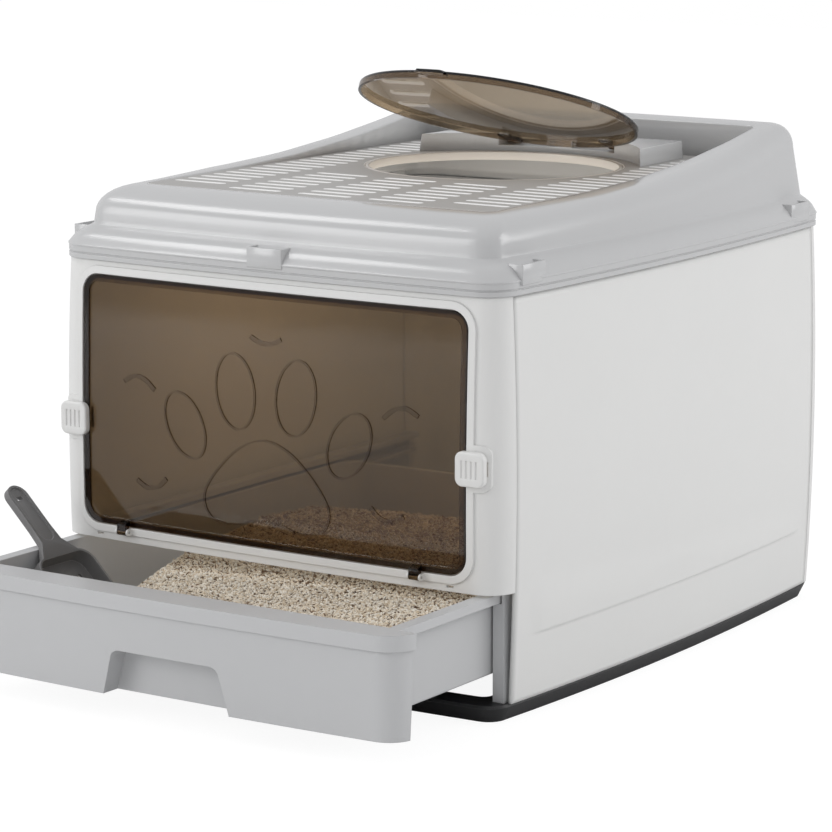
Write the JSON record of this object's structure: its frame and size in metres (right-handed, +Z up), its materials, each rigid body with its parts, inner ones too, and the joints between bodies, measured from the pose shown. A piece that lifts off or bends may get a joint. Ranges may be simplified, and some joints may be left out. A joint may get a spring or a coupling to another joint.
{
  "type": "litter box",
  "caption": "enclosed litter box with a round top entry under a clear hinged lid, a clear drop-down front door and a litter drawer",
  "frame": {"origin": "on the floor under the middle of the whole object's box as stored, with the drawer out and the lid part open; the cabinet's middle plane is x = 0", "axes": "+Z up, -Y the front with the drawer and the door, +X the object's right side seen from the front"},
  "size_m": [0.436, 0.6502, 0.4566],
  "materials": {
    "white_plastic": "satin moulded white",
    "light_grey_plastic": "glossy light grey",
    "charcoal_plastic": "satin charcoal",
    "foot_rubber": "dull black rubber",
    "smoky_clear_plastic": "see-through smoky brown",
    "pin_steel": "drawn wire",
    "warm_white_plastic": "satin warm off-white",
    "mid_grey_plastic": "satin mid grey",
    "litter_granules": "loose beige granules"
  },
  "bodies": {
    "cabinet": {"base_frame": "charcoal_plastic", "foot_pad_front_left": "foot_rubber", "foot_pad_rear_left": "foot_rubber", "foot_pad_front_right": "foot_rubber", "foot_pad_rear_right": "foot_rubber", "front_frame": "white_plastic", "left_side_panel": "white_plastic", "right_side_panel": "white_plastic", "rear_panel": "white_plastic", "left_door_pin": "pin_steel", "right_door_pin": "pin_steel", "left_drawer_channel": "light_grey_plastic", "right_drawer_channel": "light_grey_plastic"},
    "cover": {"top_cover": "light_grey_plastic", "entry_collar": "warm_white_plastic", "lid_hinge_block": "light_grey_plastic", "lid_hinge_pin": "pin_steel", "clip_front": "light_grey_plastic", "clip_rear": "light_grey_plastic", "clip_right_front": "light_grey_plastic", "clip_right_rear": "light_grey_plastic", "clip_left_front": "light_grey_plastic", "clip_left_rear": "light_grey_plastic"},
    "lid_body": {"lid": "smoky_clear_plastic"},
    "door": {"front_door": "smoky_clear_plastic"},
    "latch_left": {"left_latch": "white_plastic"},
    "latch_right": {"right_latch": "white_plastic"},
    "drawer": {"drawer_tray": "light_grey_plastic", "drawer_front": "light_grey_plastic", "litter_bed": "litter_granules"},
    "scoop_body": {"scoop": "mid_grey_plastic"}
  },
  "joints": [
    {"name": "cover_lift", "type": "slide", "parent": "cabinet", "child": "cover", "axis": [0, 0, 1], "range_m": [0, 0.15]},
    {"name": "lid_hinge", "type": "hinge", "parent": "cover", "child": "lid_body", "pos_m": [0, 0.2371, 0.3805], "axis": [-1, 0, 0], "range_deg": [-20, 75]},
    {"name": "door_hinge", "type": "hinge", "parent": "cabinet", "child": "door", "pos_m": [0, -0.19559, 0.1075], "axis": [1, 0, 0], "range_deg": [0, 85]},
    {"name": "left_latch_slide", "type": "slide", "parent": "cabinet", "child": "latch_left", "axis": [-1, 0, 0], "range_m": [0, 0.0075]},
    {"name": "right_latch_slide", "type": "slide", "parent": "cabinet", "child": "latch_right", "axis": [1, 0, 0], "range_m": [0, 0.0075]},
    {"name": "drawer_slide", "type": "slide", "parent": "cabinet", "child": "drawer", "axis": [0, -1, 0], "range_m": [-0.13, 0]},
    {"name": "scoop_lift", "type": "slide", "parent": "drawer", "child": "scoop_body", "axis": [-0.2491, -0.4983, 0.8305], "range_m": [0, 0.302]}
  ],
  "couplings": [
    {"joint": "scoop_lift", "follows": "drawer_slide", "ratio": -2.3157}
  ]
}
